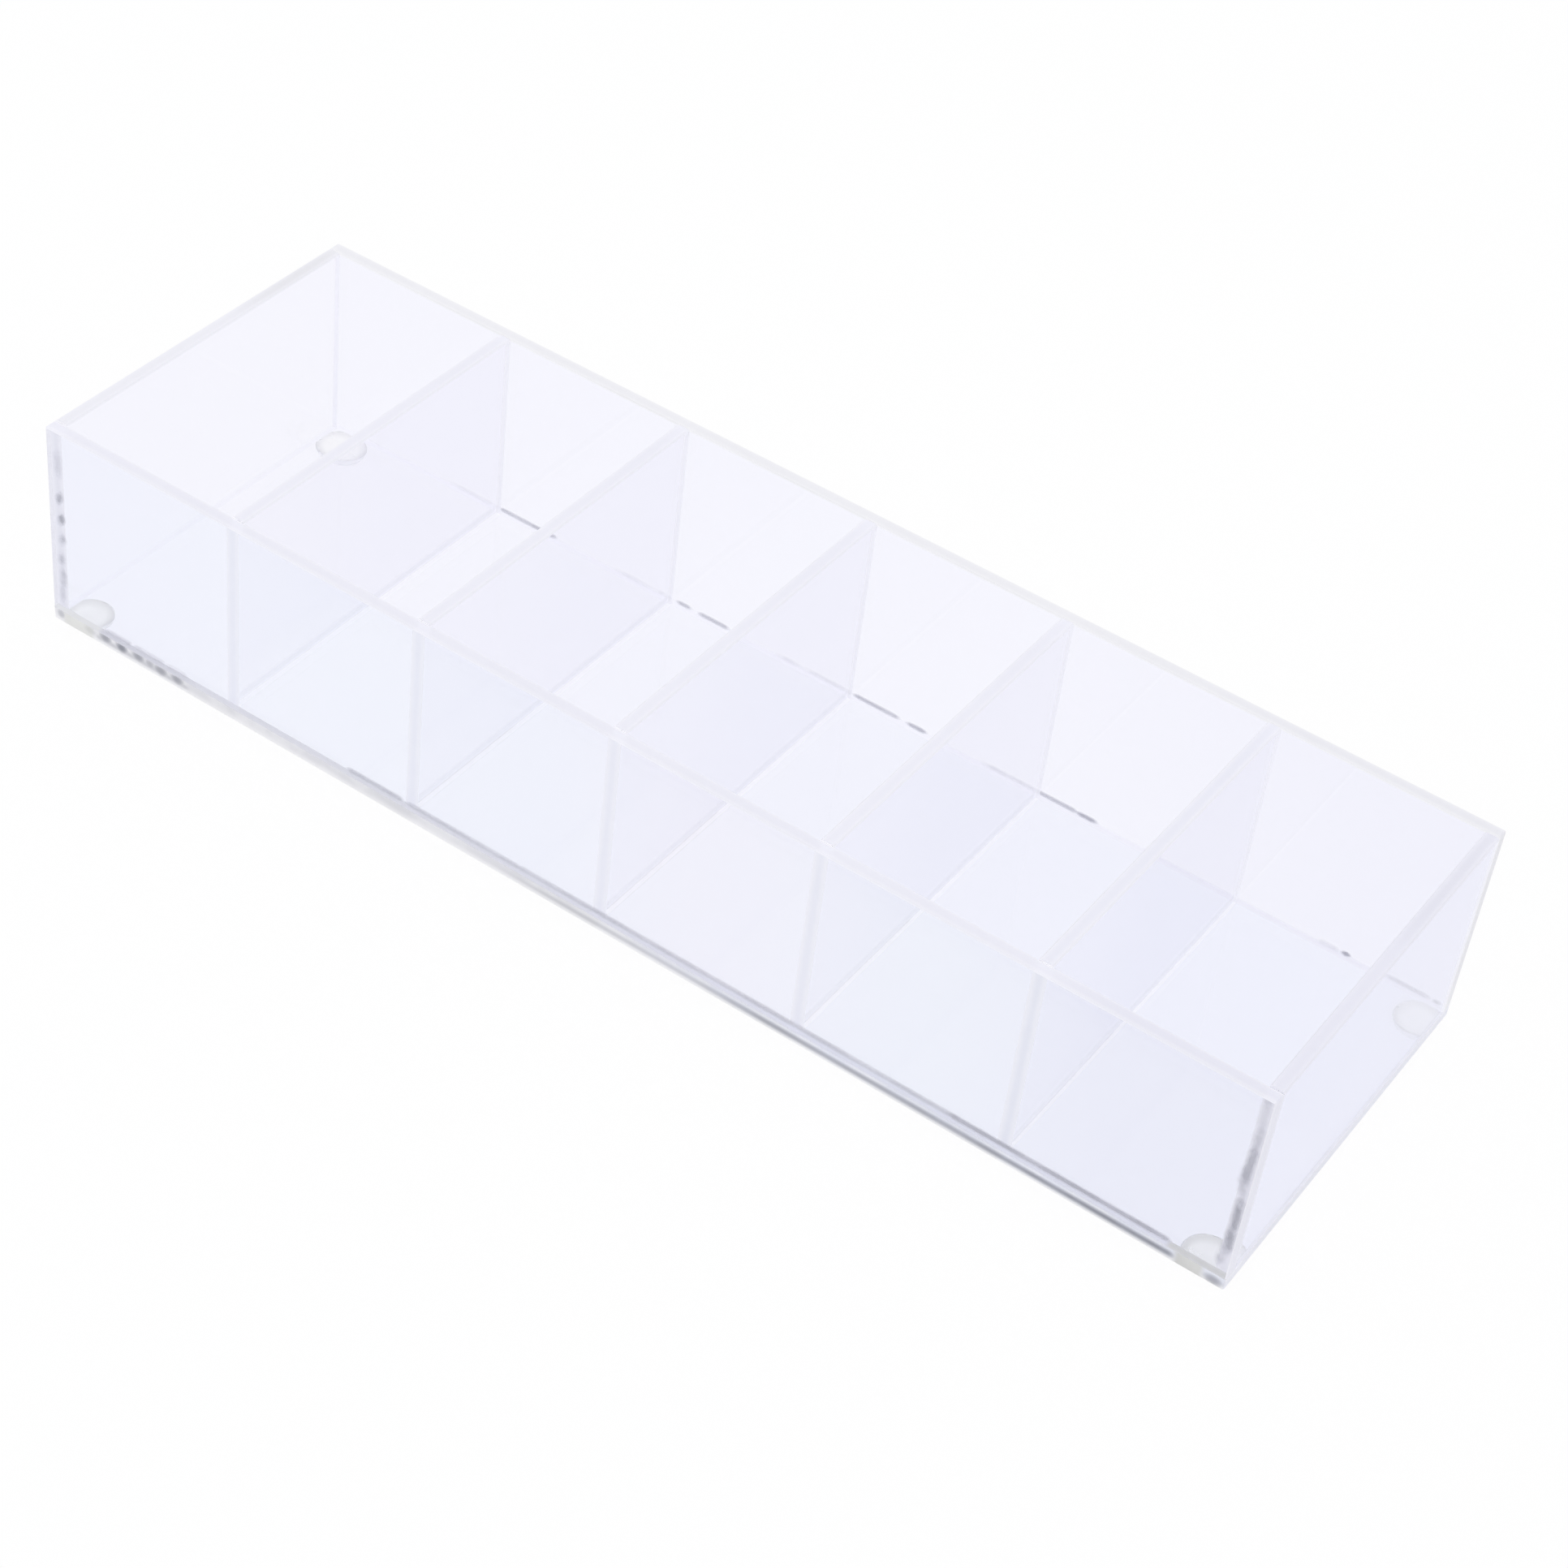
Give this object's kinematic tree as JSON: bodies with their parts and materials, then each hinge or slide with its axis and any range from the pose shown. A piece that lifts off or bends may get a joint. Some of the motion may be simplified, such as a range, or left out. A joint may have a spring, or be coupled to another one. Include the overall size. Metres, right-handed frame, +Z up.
{
  "type": "makeup organizer",
  "caption": "Clear open-top acrylic organizer tray: a row of equal compartments between full-height dividers, cemented from flat sheets, on round clear bumper feet.",
  "frame": {"origin": "centre of the footprint, on the surface that the feet stand on", "axes": "+X along the row of compartments to the right, +Y to the rear, +Z up"},
  "size_m": [0.28, 0.089, 0.051],
  "materials": {
    "clear_acrylic": "clear cast sheet, polished faces and edges",
    "clear_bumper": "clear soft bumper, smooth"
  },
  "bodies": {
    "root": {"base_plate": "clear_acrylic", "front_wall": "clear_acrylic", "rear_wall": "clear_acrylic", "left_end_wall": "clear_acrylic", "right_end_wall": "clear_acrylic", "divider_1": "clear_acrylic", "divider_2": "clear_acrylic", "divider_3": "clear_acrylic", "divider_4": "clear_acrylic", "divider_5": "clear_acrylic", "foot_front_left": "clear_bumper", "foot_front_right": "clear_bumper", "foot_rear_left": "clear_bumper", "foot_rear_right": "clear_bumper"}
  },
  "joints": []
}
